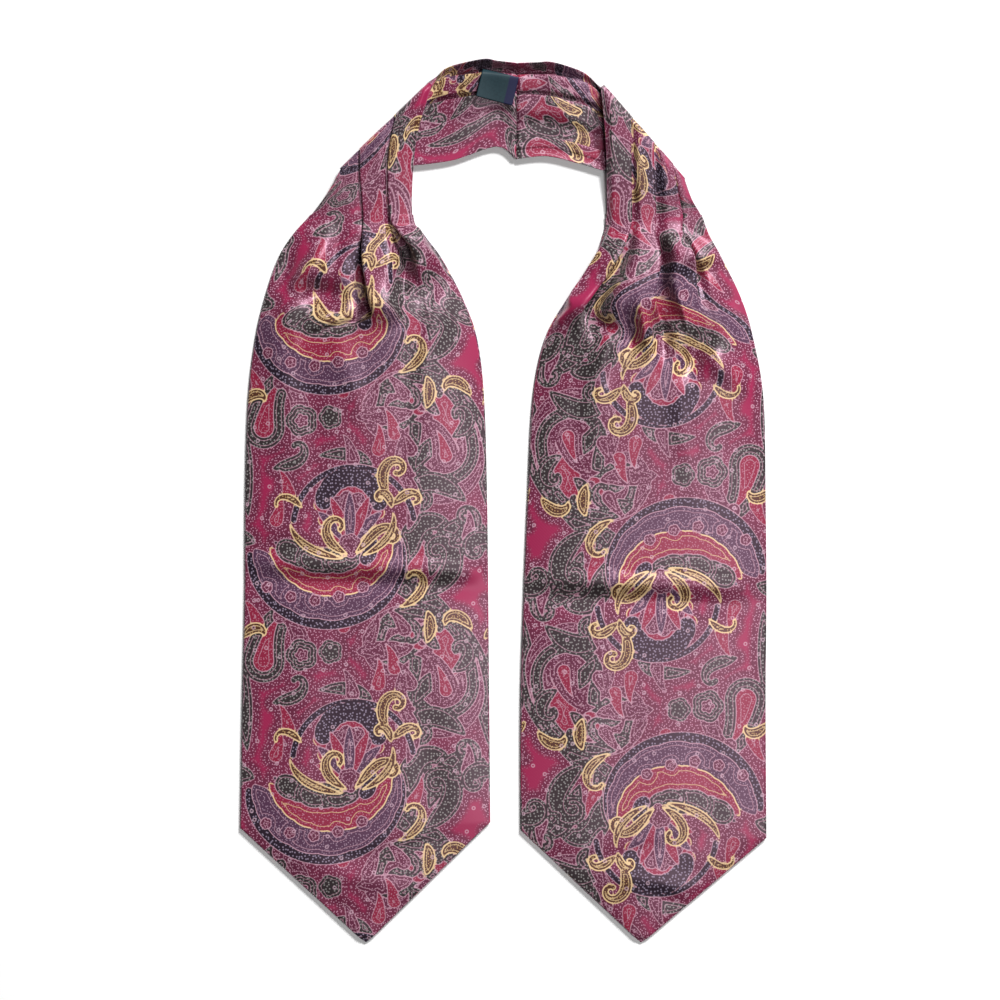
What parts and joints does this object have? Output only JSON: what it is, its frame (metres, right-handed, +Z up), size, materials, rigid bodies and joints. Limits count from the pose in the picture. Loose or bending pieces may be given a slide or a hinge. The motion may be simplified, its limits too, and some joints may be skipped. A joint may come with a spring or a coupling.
{
  "type": "silk cravat",
  "caption": "Self-tie day cravat of printed silk laid out flat, with pointed blades pleated into a narrow neckband that turns over at its corners.",
  "frame": {"origin": "on the table, under the middle of the laid-out cravat's bounding box", "axes": "+Z up from the table, +Y along the blades towards the neckband, +X towards the right blade as the camera sees it"},
  "size_m": [0.327, 0.5497, 0.0199],
  "materials": {
    "printed_silk": "silk twill with a soft sheen, printed with a crimson, plum, grey-green and gold paisley",
    "label_satin": "dark green satin ribbon, bare"
  },
  "bodies": {
    "root": {"blade_front_left": "printed_silk", "blade_back_left": "printed_silk", "blade_front_right": "printed_silk", "blade_back_right": "printed_silk", "neckband_left": "printed_silk", "neckband_right": "printed_silk", "neckband_back_left": "printed_silk", "neckband_back_right": "printed_silk", "label": "label_satin"}
  },
  "joints": []
}
